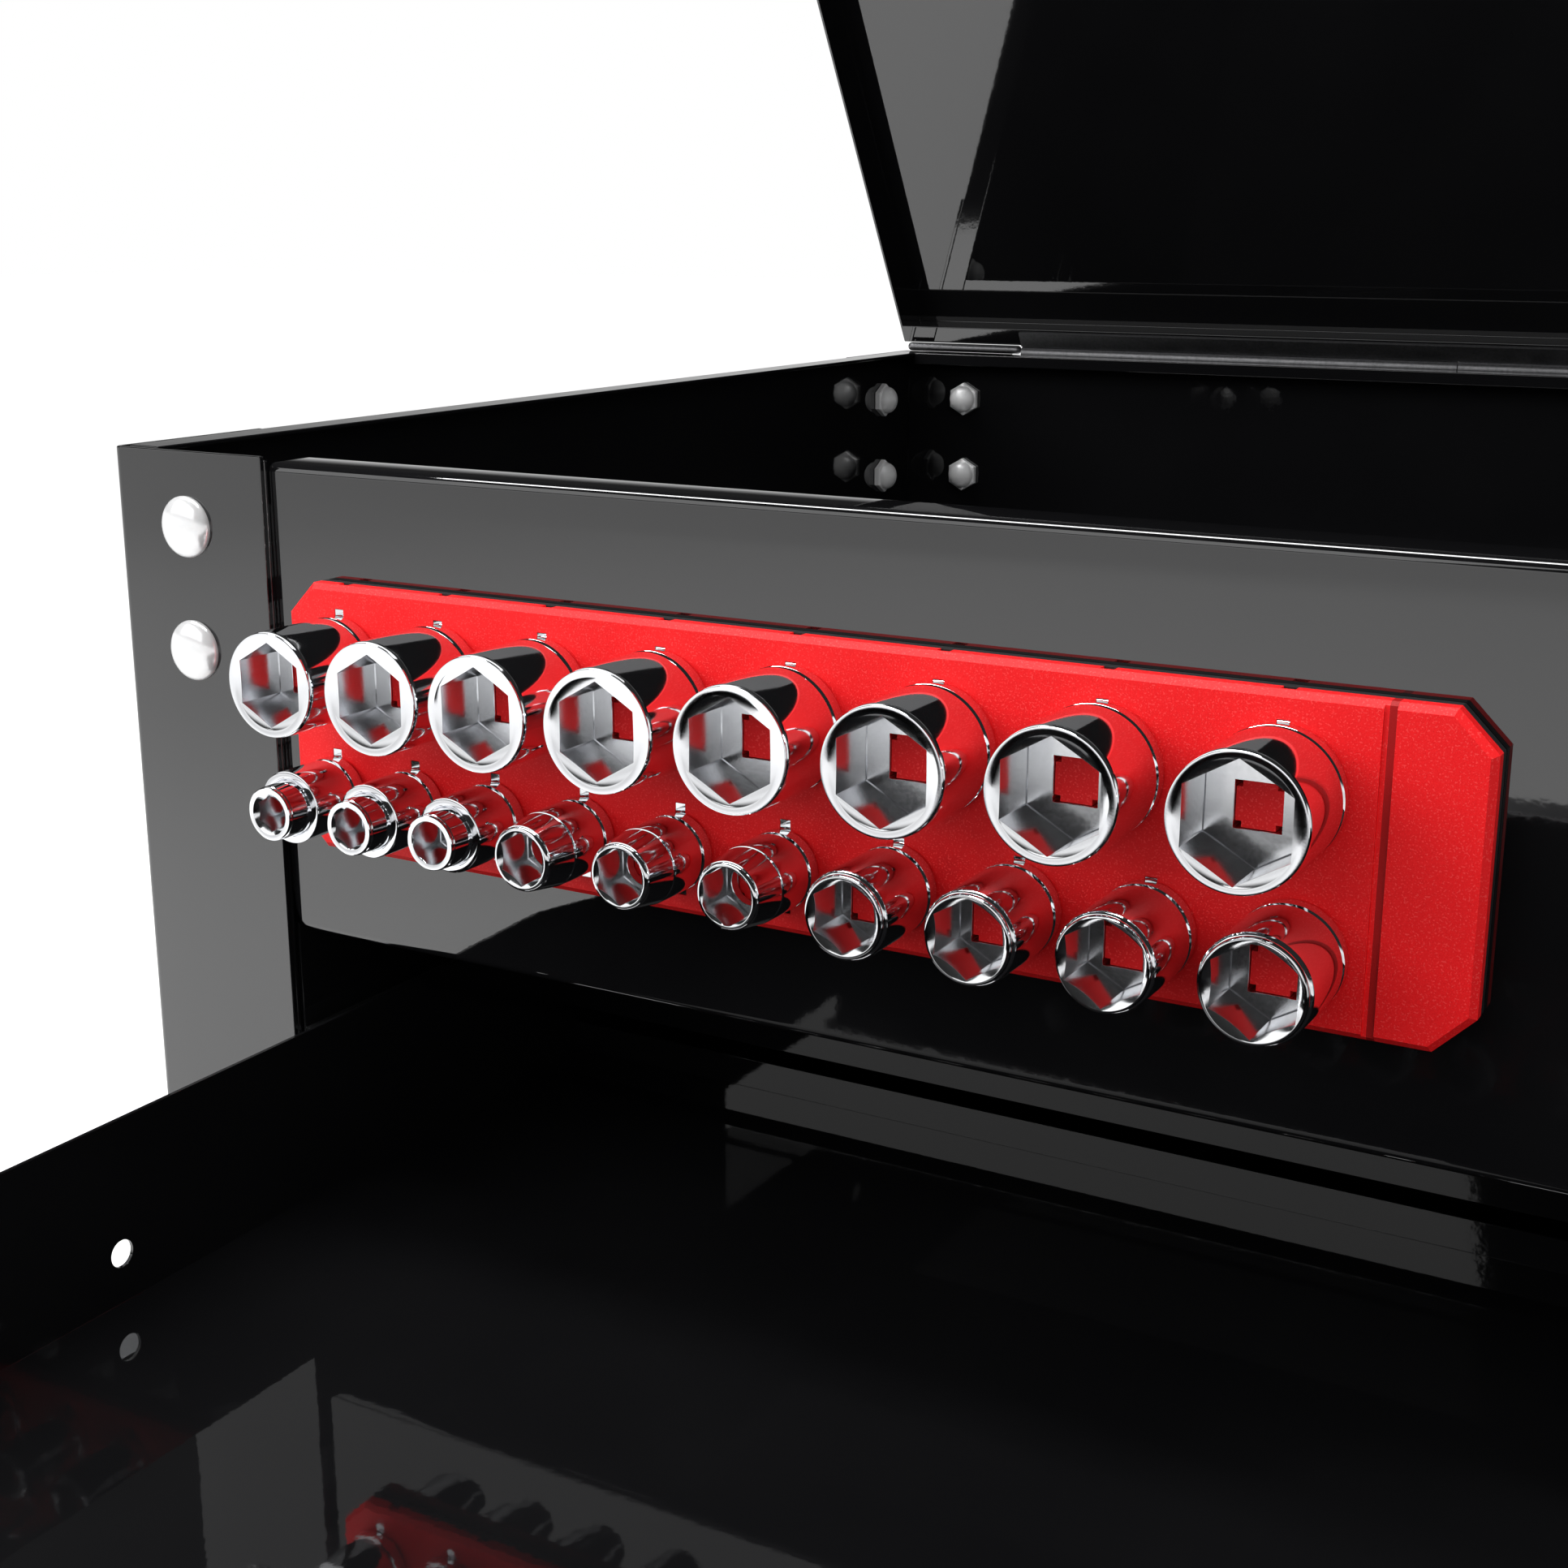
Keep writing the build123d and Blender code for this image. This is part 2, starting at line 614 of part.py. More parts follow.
PLATE_FRAME = Plane(
    origin=(PLATE_LEFT, SEAT_Y, PLATE_BOTTOM), x_dir=(1, 0, 0), z_dir=(0, -1, 0)
)  # x along the plate, y up it, z out of its front face
COVER_BACK = PLATE_FRAME.offset(-COVER_THICK)
BASE_BACK = PLATE_FRAME.offset(-COVER_THICK - BASE_THICK)
SOCKET_SPOTS = [(x, TOP_ROW_Z) for x in TOP_ROW_X] + [(x, BOTTOM_ROW_Z) for x in BOTTOM_ROW_X]
STRIPS = {"keeper_strip_upper": (TOP_ROW_Z, 31.0), "keeper_strip_lower": (BOTTOM_ROW_Z, 24.0)}
STRIP_ENDS = (6.0, 271.0)


def plate_outline():
    """Long rectangle with its four corners cut at 45 degrees."""
    with Locations((PLATE_LENGTH / 2, PLATE_HEIGHT / 2)):
        Rectangle(PLATE_LENGTH, PLATE_HEIGHT)
    chamfer(vertices(), PLATE_CUT)


def strip_outline(centre, height, clearance=0.0):
    middle = sum(STRIP_ENDS) / 2
    with Locations((middle, centre)):
        Rectangle(STRIP_ENDS[1] - STRIP_ENDS[0] + 2 * clearance, height + 2 * clearance)


with BuildPart() as organizer_cover:
    with BuildSketch(COVER_BACK):
        plate_outline()
    extrude(amount=COVER_THICK)
    front_edges = faces().sort_by(Axis.Y)[0].edges()
    chamfer(front_edges, EDGE_CHAMFER)
    # posts: square, with relieved corners
    with BuildSketch(PLATE_FRAME):
        with Locations(*SOCKET_SPOTS):
            Rectangle(POST_SPAN, POST_WEB)
            Rectangle(POST_WEB, POST_SPAN)
    extrude(amount=POST_LENGTH)
    # upright channel that sets off the end zone
    with BuildSketch(PLATE_FRAME):
        with Locations((CHANNEL_X, PLATE_HEIGHT / 2)):
            Rectangle(CHANNEL_WIDTH, PLATE_HEIGHT)
    extrude(amount=-CHANNEL_DEPTH, mode=Mode.SUBTRACT)
    # notches for the snap fingers, along the top and bottom edges
    with BuildSketch(COVER_BACK):
        with Locations(*[(x, z) for x in TOP_ROW_X for z in (0, PLATE_HEIGHT)]):
            Rectangle(*NOTCH)
    extrude(amount=NOTCH_RISE, mode=Mode.SUBTRACT)
    # pockets for the keeper strips and the windows that show them
    with BuildSketch(COVER_BACK):
        for centre, height in STRIPS.values():
            strip_outline(centre, height, STRIP_PLAY)
    extrude(amount=POCKET_DEPTH, mode=Mode.SUBTRACT)
    with BuildSketch(COVER_BACK):
        with Locations(*[(x, TOP_ROW_Z + side * TOP_WINDOW) for x in TOP_ROW_X for side in (-1, 1)]):
            Rectangle(*WINDOW)
        with Locations(
            *[(x, BOTTOM_ROW_Z + side * BOTTOM_WINDOW) for x in BOTTOM_ROW_X for side in (-1, 1)]
        ):
            Rectangle(*WINDOW)
    extrude(amount=COVER_THICK + 1, mode=Mode.SUBTRACT)

save(organizer_cover, "organizer_cover")

magnet_spots = [
    ((number + 0.5) * PLATE_LENGTH / MAGNETS, PLATE_HEIGHT / 2) for number in range(MAGNETS)
]

with BuildPart() as organizer_base:
    with BuildSketch(BASE_BACK):
        plate_outline()
        with Locations(*magnet_spots):
            Rectangle(MAGNET[0] + PLAY, MAGNET[1] + PLAY, mode=Mode.SUBTRACT)
    extrude(amount=BASE_THICK)

with BuildPart() as magnets:
    with BuildSketch(BASE_BACK):
        with Locations(*magnet_spots):
            Rectangle(MAGNET[0], MAGNET[1])
    extrude(amount=MAGNET[2])

save(organizer_base, "organizer_base")
save(magnets, "magnets")

for strip_name, (strip_centre, strip_height) in STRIPS.items():
    with BuildPart() as keeper_strip:
        with BuildSketch(COVER_BACK):
            strip_outline(strip_centre, strip_height)
        extrude(amount=STRIP_THICK)
    save(keeper_strip, strip_name)

# ======================= sockets =======================


def socket(name, spot, outer, hexagon, length, nose=None):
    """Socket on its post: round outside, hexagon recess in front, square drive behind.

    The nose, if the socket has one, is the height where it starts and its two radii.
    """
    seat = Plane(PLATE_FRAME * Pos(*spot))
    with BuildPart() as body:
        with BuildSketch(seat.offset(SEAT_GAP)):
            Circle(outer / 2)
        extrude(amount=(nose[0] if nose else length) - SEAT_GAP)
        if nose:
            with BuildSketch(seat.offset(nose[0])):
                Circle(nose[1])
            with BuildSketch(seat.offset(length)):
                Circle(nose[2])
            loft(ruled=True)
        with BuildSketch(seat.offset(DRIVE_DEPTH)):
            RegularPolygon(hexagon / 2, 6, major_radius=False, rotation=90)
        extrude(amount=length, mode=Mode.SUBTRACT)
        with BuildSketch(seat):
            Rectangle(DRIVE, DRIVE)
        extrude(amount=DRIVE_DEPTH, mode=Mode.SUBTRACT)
    save(body, name)


for number, x in enumerate(TOP_ROW_X):
    name = f"socket_top_{number + 1}"
    socket(name, (x, TOP_ROW_Z), TOP_OUTER[number], TOP_HEX[number], TOP_LENGTH)

for number, x in enumerate(BOTTOM_ROW_X):
    name = f"socket_bottom_{number + 1}"
    sizes = (BOTTOM_OUTER[number], BOTTOM_HEX[number], BOTTOM_LENGTH)
    socket(name, (x, BOTTOM_ROW_Z), *sizes, BOTTOM_NOSES[number])
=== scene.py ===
# %% [markdown]
# # A tool chest with a magnetic socket organizer
# The chest is a gloss black sheet-metal box: a lid that is propped open, a till under it, and
# drawers below. A red organizer with two rows of sockets clings to the till's front panel.
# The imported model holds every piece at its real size. This script dresses those pieces: it
# rounds the edges of the sheet metal, turns the sockets and bolt heads as smooth surfaces, and
# gives every surface its finish.

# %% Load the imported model
import json
from math import cos, pi, radians, sin

import bmesh
import bpy
import numpy as np
from mathutils import Matrix, Vector


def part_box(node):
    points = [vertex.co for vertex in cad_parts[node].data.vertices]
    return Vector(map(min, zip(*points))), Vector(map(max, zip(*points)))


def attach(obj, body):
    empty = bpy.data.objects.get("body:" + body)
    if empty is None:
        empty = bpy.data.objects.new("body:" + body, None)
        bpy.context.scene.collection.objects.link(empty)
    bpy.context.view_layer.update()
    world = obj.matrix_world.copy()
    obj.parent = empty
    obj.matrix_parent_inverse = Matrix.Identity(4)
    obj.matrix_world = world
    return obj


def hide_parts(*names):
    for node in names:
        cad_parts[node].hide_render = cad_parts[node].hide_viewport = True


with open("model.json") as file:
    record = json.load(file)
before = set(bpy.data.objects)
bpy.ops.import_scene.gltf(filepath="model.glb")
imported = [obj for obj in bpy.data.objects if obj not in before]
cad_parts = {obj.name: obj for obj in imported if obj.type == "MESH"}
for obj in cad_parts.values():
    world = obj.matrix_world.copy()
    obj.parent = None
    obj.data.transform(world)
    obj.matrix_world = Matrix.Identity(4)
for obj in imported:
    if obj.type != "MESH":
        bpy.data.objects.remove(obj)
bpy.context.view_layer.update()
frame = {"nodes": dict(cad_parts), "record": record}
slot_of = {part["node"]: part["material_slot"] for part in frame["record"]["subparts"]}
bodies = frame["record"]["behaviour"]["bodies"]
body_of = {node: body for body, nodes in bodies.items() for node in nodes}
MM = 0.001

# %% [markdown]
# ## The camera
# The photo is a close view from above and from the right, so that the rows of sockets run
# away to the left. The lens is a 50 mm on a 36 mm frame. A camera looks along its own -Z, with
# +Y up, so its matrix is built from three directions: right, up and back.

# %% Camera
SENSOR_WIDTH, FOCAL_LENGTH = 36.0, 49.54  # both in mm
camera_data = bpy.data.cameras.new("photo_camera")
camera_data.sensor_width = SENSOR_WIDTH
camera_data.lens = FOCAL_LENGTH
camera_data.clip_start = 0.02
camera_data.clip_end = 60.0
camera = bpy.data.objects.new("photo_camera", camera_data)
bpy.context.scene.collection.objects.link(camera)
bpy.context.scene.camera = camera

CAMERA_PLACE = Vector((0.1066, -0.6319, 0.4458))
CAMERA_YAW = radians(30.06)  # to the left of +Y
CAMERA_PITCH = radians(14.92)  # below the horizon
forward = Vector(
    (-sin(CAMERA_YAW) * cos(CAMERA_PITCH), cos(CAMERA_YAW) * cos(CAMERA_PITCH), -sin(CAMERA_PITCH))
)
right = forward.cross(Vector((0, 0, 1))).normalized()
up = right.cross(forward)
turned_to = Matrix((right, up, -forward)).transposed().to_4x4()
camera.matrix_world = Matrix.Translation(CAMERA_PLACE) @ turned_to
print("camera looks along", [round(value, 3) for value in forward])

# %% [markdown]
# ## Shader maths in plain expressions
# A finish is easier to read as `0.3 + 0.1 * speckle` than as a row of Math nodes. The class
# below wraps one output socket, and each Python operator on it adds the node that it stands for.
# Every other node comes from one function, which sets the node's options first and then its
# inputs, either to values or to links.


# %% Values and nodes
class Value:
    """A number worked out by a shader. Operators on it add Math nodes to its tree."""

    def __init__(self, tree, socket):
        self.tree = tree
        self.socket = socket

    def maths(self, operation, first, second):
        node = self.tree.nodes.new("ShaderNodeMath")
        node.operation = operation
        for entry, value in zip(node.inputs, (first, second)):
            connect(self.tree, entry, value)
        return Value(self.tree, node.outputs[0])

    def __add__(self, other):
        return self.maths("ADD", self, other)

    def __sub__(self, other):
        return self.maths("SUBTRACT", self, other)

    def __rsub__(self, other):
        return self.maths("SUBTRACT", other, self)

    def __mul__(self, other):
        return self.maths("MULTIPLY", self, other)

    def __pow__(self, other):
        return self.maths("POWER", self, other)

    def above(self, edge):
        """1 where the value is above the edge, and 0 elsewhere."""
        return self.maths("GREATER_THAN", self, edge)

    __radd__ = __add__
    __rmul__ = __mul__


def connect(tree, entry, value):
    """Links a worked-out value to an input, or sets the input to a plain number or colour."""
    if isinstance(value, Value):
        tree.links.new(value.socket, entry)
    else:
        entry.default_value = value


def add_node(tree, kind, options=None, output=0, **inputs):
    """Adds a node: its options first, then its inputs by name; returns an output, by name."""
    node = tree.nodes.new(kind)
    for name, option in (options or {}).items():
        setattr(node, name, option)
    for name, value in inputs.items():
        connect(tree, node.inputs[name.replace("_", " ")], value)
    return Value(tree, node.outputs[output])


def mix_colours(tree, factor, first, second):
    """A colour between two others, by a factor from 0 to 1."""
    node = tree.nodes.new("ShaderNodeMix")
    node.data_type = "RGBA"
    connect(tree, node.inputs["Factor"], factor)
    connect(tree, node.inputs["A"], first)
    connect(tree, node.inputs["B"], second)
    return Value(tree, node.outputs["Result"])


def noise(tree, scale, detail, stretch=(1, 1, 1)):
    """Noise on the piece's own coordinates; scale counts blotches in a metre."""
    place = add_node(tree, "ShaderNodeTexCoord", output="Object")
    if stretch != (1, 1, 1):
        place = add_node(tree, "ShaderNodeMapping", Vector=place, Scale=stretch)
    return add_node(tree, "ShaderNodeTexNoise", Vector=place, Scale=scale, Detail=detail)


def finish(name, colour, roughness, bump=None, bump_depth=0.0, **constants):
    """A material: colour and roughness may vary over the surface, the constants don't."""
    material = bpy.data.materials.new(name)
    material.use_nodes = True
    tree = material.node_tree
    surface = tree.nodes["Principled BSDF"]
    for entry, value in constants.items():
        surface.inputs[entry].default_value = value
    connect(tree, surface.inputs["Base Color"], colour(tree))
    connect(tree, surface.inputs["Roughness"], roughness(tree))
    if bump:
        raised = add_node(tree, "ShaderNodeBump", Height=bump(tree), Distance=bump_depth)
        connect(tree, surface.inputs["Normal"], raised)
    return material


# %% [markdown]
# ## Gloss black paint
# The whole chest has one finish: thick, baked, gloss black. Such paint is nearly a mirror, so
# most of what shows on it is the bright room. A lacquer's index of refraction is about 1.5. The
# finish has more, because these sheets mirror the room more strongly than that. The coat isn't
# quite flat either: it has a faint orange peel, and a thin film of dust makes it a little
# rougher in patches.

# %% Paint
PAINT_BLACK = (0.004, 0.004, 0.0045, 1)
PAINT_DUSTY = (0.0075, 0.0075, 0.008, 1)
PAINT_IOR = 1.87
PEEL_DEPTH = 0.000006  # metres


def paint_colour(tree):
    return mix_colours(tree, noise(tree, scale=14.0, detail=6.0) ** 2.0, PAINT_BLACK, PAINT_DUSTY)


def paint_roughness(tree):
    return 0.02 + 0.04 * noise(tree, scale=9.0, detail=5.0) ** 2.0


def orange_peel(tree):
    return noise(tree, scale=320.0, detail=2.0)


black_paint = finish(
    "black_paint", paint_colour, paint_roughness, orange_peel, PEEL_DEPTH, IOR=PAINT_IOR
)

# %% [markdown]
# ## Moulded plastic
# The organizer's cover is injection-moulded in signal red, with the fine spark-eroded grain of
# its mould. The grain scatters light, so the red looks soft, and tiny glints, painted into the
# colour as highlights, stand on it. The plastic reflects little: its Specular IOR Level is below
# the usual 0.5, which keeps the red deep. One side of the channel beside the end zone lies in
# shade, and a line of darker red is painted there as that shade. The shell behind the cover is the
# same plastic in black.

# %% Plastics
RED = (0.93, 0.008, 0.011, 1)
# RED_GLINT is a painted highlight: the colour of the glints, laid into the red
RED_GLINT = (1.0, 0.045, 0.045, 1)
# a darker red for painted shade: it stands for the shaded side of the channel, not for a seam
RED_PAINTED_SHADE = (0.4, 0.003, 0.004, 1)
SHADE_LINE_X, SHADE_LINE_HALF = 0.0077, 0.8  # middle of the shaded line in metres, half its width in mm
GLINT_RARITY, GLINT_GAIN = 18.0, 500.0  # a high power leaves only the peaks of a noise
SHELL_BLACK = (0.012, 0.012, 0.013, 1)
SHELL_GREY = (0.03, 0.03, 0.032, 1)
GRAIN_DEPTH = 0.00003  # metres
DULL = {"Specular IOR Level": 0.3}


def grain(tree):
    return noise(tree, scale=3600.0, detail=3.0) + 0.4 * noise(tree, scale=1200.0, detail=2.0)


def red_colour(tree):
    """Red with rare painted glints, and a line of painted shade, a darker red, where x is within
    the line's half width of its middle.
    """
    # the glints are painted highlights: bright red specks in the colour where a fine noise peaks
    painted_glints = noise(tree, scale=2600.0, detail=0.0) ** GLINT_RARITY * GLINT_GAIN
    place = add_node(tree, "ShaderNodeTexCoord", output="Object")
    x = add_node(tree, "ShaderNodeSeparateXYZ", output="X", Vector=place)
    # the line of painted shade: outside is 0 within its half width of its middle, and 1 elsewhere
    off = (x - SHADE_LINE_X) * 1000.0
    outside = (off * off).above(SHADE_LINE_HALF * SHADE_LINE_HALF)
    plain = mix_colours(tree, painted_glints, RED, RED_GLINT)
    return mix_colours(tree, outside, RED_PAINTED_SHADE, plain)


def grain_roughness(tree):
    return 0.42 + 0.2 * noise(tree, scale=1800.0, detail=2.0)


def shell_colour(tree):
    return mix_colours(tree, noise(tree, scale=2200.0, detail=2.0), SHELL_BLACK, SHELL_GREY)


red_plastic = finish("red_plastic", red_colour, grain_roughness, grain, GRAIN_DEPTH, **DULL)
black_plastic = finish("black_plastic", shell_colour, grain_roughness, grain, GRAIN_DEPTH, **DULL)

# %% [markdown]
# ## Bare and plated metals
# Sockets are polished and chromed: a mirror, with hair-fine scratches from the boxes they have
# lain in. Inside, where no polishing wheel reaches, a socket mirrors less sharply. Its mesh
# carries a number on each point, 0 outside and 1 inside, and the roughness reads that number.
# Slides are zinc plated, which is duller and slightly blotched, the hinge is dark, grainy steel,
# and the pulls are satin aluminium, brushed along their length. All of these have Metallic at 1,
# so their colour is that of their reflection. The bolt heads and the closed nuts have a milky
# plating instead, which scatters part of the light, so their Metallic is less than 1.

# %% Metals
CHROME = (0.86, 0.87, 0.89, 1)
CHROME_WORN = (0.74, 0.75, 0.78, 1)
PLATING = (0.97, 0.97, 0.97, 1)
HINGE_GREY = (0.3, 0.3, 0.31, 1)
HINGE_DARK = (0.12, 0.12, 0.125, 1)
ZINC = (0.5, 0.51, 0.53, 1)
ZINC_DULL = (0.36, 0.37, 0.38, 1)
ALUMINIUM = (0.62, 0.62, 0.64, 1)
STEEL = (0.56, 0.56, 0.58, 1)
SCRATCHED = (1.0, 0.05, 12.0)  # stretches of noise: long along Y and narrow along Z
BRUSHED = (0.4, 60.0, 60.0)  # long along X
BRUSH_DEPTH = 0.00002  # metres
HEAD_METALLIC, NUT_METALLIC = 0.45, 0.35


def metal_colour(clean, worn, scale):
    """Two tones of one metal, blotched by noise."""
    return lambda tree: mix_colours(tree, noise(tree, scale, detail=4.0) ** 2.0, clean, worn)


def chrome_roughness(tree):
    return 0.06 + 0.08 * noise(tree, scale=90.0, detail=8.0, stretch=SCRATCHED) ** 3.0


def socket_roughness(tree):
    """As chrome, and rougher where the mesh's number "bore" is 1."""
    bore = add_node(tree, "ShaderNodeAttribute", {"attribute_name": "bore"}, output="Fac")
    return chrome_roughness(tree) + bore * (0.06 + 0.1 * noise(tree, scale=1500.0, detail=3.0))


def plating_roughness(tree):
    return 0.12 + 0.15 * noise(tree, scale=900.0, detail=3.0)


def zinc_roughness(tree):
    return 0.26 + 0.22 * noise(tree, scale=160.0, detail=5.0)


def brushing(tree):
    return noise(tree, scale=30.0, detail=6.0, stretch=BRUSHED)


def brushed_roughness(tree):
    return 0.24 + 0.2 * brushing(tree)


# %% Metal finishes
socket_chrome = finish(
    "socket_chrome", metal_colour(CHROME, CHROME_WORN, 120.0), socket_roughness, Metallic=1.0
)
plated = metal_colour(PLATING, CHROME, 900.0)
bolt_chrome = finish("bolt_chrome", plated, plating_roughness, Metallic=HEAD_METALLIC)
nut_steel = finish("nut_steel", plated, zinc_roughness, Metallic=NUT_METALLIC)
hinge_grain = metal_colour(HINGE_GREY, HINGE_DARK, 900.0)
hinge_steel = finish("hinge_steel", hinge_grain, zinc_roughness, Metallic=1.0)
zinc = finish("zinc", metal_colour(ZINC, ZINC_DULL, 70.0), zinc_roughness, Metallic=1.0)
satin = metal_colour(ALUMINIUM, STEEL, 40.0)
aluminium = finish("aluminium", satin, brushed_roughness, brushing, BRUSH_DEPTH, Metallic=1.0)
strip_steel = finish(
    "strip_steel", metal_colour(CHROME, STEEL, 200.0), chrome_roughness, Metallic=1.0
)

finishes = {
    "black_paint": black_paint,
    "red_plastic": red_plastic,
    "black_plastic": black_plastic,
    "socket_chrome": socket_chrome,
    "bolt_chrome": bolt_chrome,
    "nut_steel": nut_steel,
    "slide_steel": zinc,
    "hinge_steel": hinge_steel,
    "pull_aluminium": aluminium,
    "keeper_steel": strip_steel,
    "magnet_metal": zinc,
}
for node, thing in frame["nodes"].items():
    thing.data.materials.clear()
    thing.data.materials.append(finishes[slot_of[node]])
print(len(finishes), "slots have a finish")

# %% [markdown]
# ## Rounded edges for folded and moulded pieces
# A real edge is never sharp: a folded sheet turns over a small radius, and a moulding has a
# rounded arris. These thin lines catch the light and make a thing look solid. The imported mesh
# is loose triangles, so a copy is merged, its flat faces are joined again, and a Bevel modifier
# rounds what is left of its edges.

# %% Eased copies
SAME_POINT = 0.002 * MM
SAME_PLANE = radians(1)
SHARP = radians(28)  # edges that turn by more than this are rounded


def add_piece(name, mesh, body, slot):
    """Makes an object of a mesh, with the finish of its slot, on its body."""
    piece = bpy.data.objects.new(name, mesh)
    bpy.context.scene.collection.objects.link(piece)
    mesh.materials.append(finishes[slot])
    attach(piece, body)
    return piece


def merged_mesh(name, source):
    """A copy of a mesh with doubled points merged and flat faces joined again."""
    count = len(source.vertices)
    corners = np.empty(count * 3, np.float32)
    source.vertices.foreach_get("co", corners)
    faces = np.empty(len(source.loops), np.int32)
    source.loops.foreach_get("vertex_index", faces)
    mesh = bpy.data.meshes.new(name)
    mesh.from_pydata(corners.reshape(-1, 3), [], faces.reshape(-1, 3))
    work = bmesh.new()
    work.from_mesh(mesh)
    bmesh.ops.remove_doubles(work, verts=work.verts, dist=SAME_POINT)
    bmesh.ops.dissolve_limit(work, angle_limit=SAME_PLANE, verts=work.verts, edges=work.edges)
    work.to_mesh(mesh)
    work.free()
    return mesh


def ease(node, width):
    """Replaces a node with a copy whose edges are rounded."""
    mesh = merged_mesh(node + "_eased", frame["nodes"][node].data)
    mesh.shade_smooth()
    mesh.set_sharp_from_angle(angle=SHARP)
    piece = add_piece(node + "_eased", mesh, body_of[node], slot_of[node])
    bevel = piece.modifiers.new("rounded", "BEVEL")
    bevel.width = width
    bevel.segments = 2
    bevel.limit_method = "ANGLE"
    bevel.angle_limit = SHARP
    bevel.harden_normals = True
    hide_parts(node)


SHEET_EDGE, MOULDED_EDGE = 0.35 * MM, 0.25 * MM
sheets = [node for node in slot_of if slot_of[node] == "black_paint" or node.endswith("_pull")]
for node in sheets:
    ease(node, SHEET_EDGE)
mouldings = ("organizer_cover", "organizer_base")
for node in mouldings:
    ease(node, MOULDED_EDGE)
print(len(sheets), "sheet pieces and", len(mouldings), "mouldings have rounded edges")

# %% [markdown]
# ## Surfaces from a grid of points
# The turned pieces are smooth, so they are worked out instead of copied. A grid holds one point
# for each pair of parameters: rows run along the profile and columns run round the axis. Where
# the profile closes on itself, the last row joins the first. Elsewhere each end row shrinks to a
# point or a line, and its points are merged, so that the surface is closed there too.

# %% Grid surfaces
SAME_POLE = 0.001 * MM
TURNED_SHARP = radians(32)  # edges that turn by more than this stay sharp


def grid_faces(rows, columns, close_rows):
    """Corner numbers of the quads between neighbouring rows and columns; columns wrap round."""
    index = np.arange(rows * columns).reshape(rows, columns)
    index = np.hstack([index, index[:, :1]])
    if close_rows:
        index = np.vstack([index, index[:1]])
    corners = [index[:-1, :-1], index[:-1, 1:], index[1:, 1:], index[1:, :-1]]
    return np.stack(corners, axis=-1).reshape(-1, 4)


def enclosed_volume(points, faces):
    """Six times the volume inside closed quads, as a sum of cones; negative if inside out."""
    a, b, c, d = (points[faces[:, corner]] for corner in range(4))
    return (np.cross(b - a, c - a) * a).sum() + (np.cross(c - a, d - a) * a).sum()


def close_poles(mesh):
    """Merges the points of an end row that lies on one point or one line."""
    work = bmesh.new()
    work.from_mesh(mesh)
    bmesh.ops.remove_doubles(work, verts=work.verts, dist=SAME_POLE)
    work.to_mesh(mesh)
    work.free()


def grid_mesh(name, grids, close_rows=True):
    """One mesh from several grids of points (rows, columns, 3), faces outwards."""
    all_points, all_faces, start = [], [], 0
    for points in grids:
        rows, columns = points.shape[:2]
        faces = grid_faces(rows, columns, close_rows)
        flat = points.reshape(-1, 3)
        if enclosed_volume(flat - flat.mean(axis=0), faces) < 0:
            faces = faces[:, ::-1]
        all_points.append(flat)
        all_faces.append(faces + start)
        start += len(flat)
    points, faces = np.vstack(all_points), np.vstack(all_faces)
    mesh = bpy.data.meshes.new(name)
    mesh.vertices.add(len(points))
    mesh.vertices.foreach_set("co", points.astype(np.float32).ravel())
    mesh.loops.add(faces.size)
    mesh.loops.foreach_set("vertex_index", faces.astype(np.int32).ravel())
    mesh.polygons.add(len(faces))
    mesh.polygons.foreach_set("loop_start", np.arange(0, faces.size, 4, dtype=np.int32))
    mesh.update(calc_edges=True)
    if not close_rows:
        close_poles(mesh)
    mesh.shade_smooth()
    mesh.set_sharp_from_angle(angle=TURNED_SHARP)
    return mesh


def add_capped(name, grids, body, slot):
    """Adds one piece made of grids whose end rows lie on a point or a line."""
    return add_piece(name, grid_mesh(name, grids, close_rows=False), body, slot)


# %% [markdown]
# ## Sockets
# A socket is turned on the outside, has a hexagon pressed into its front and a square drive
# behind. All of it is one grid: each row is a closed line round the axis, whose distance from
# the axis is a circle's radius, a hexagon's or a square's. A regular polygon's edge stands at
# apothem / cos(angle from the middle of its side), and that is all that it takes to change from
# round to six-sided. In a small socket a lead-in cone in the mouth meets the hexagon deeper where
# the flats are, which draws the scallops that real sockets show, and the lip is rounded. The
# large sockets have a nearly flat ring for a face.

# %% A socket's outside
AROUND = 120  # columns; holds the corners of both the hexagon and the square
TURN = np.arange(AROUND) * (2 * pi / AROUND)


def polygon_radius(apothem, sides, angles=TURN):
    """Distance from the axis to a regular polygon's edge; the middle of one side is at angle 0."""
    step = 2 * pi / sides
    return apothem / np.cos((angles + step / 2) % step - step / 2)


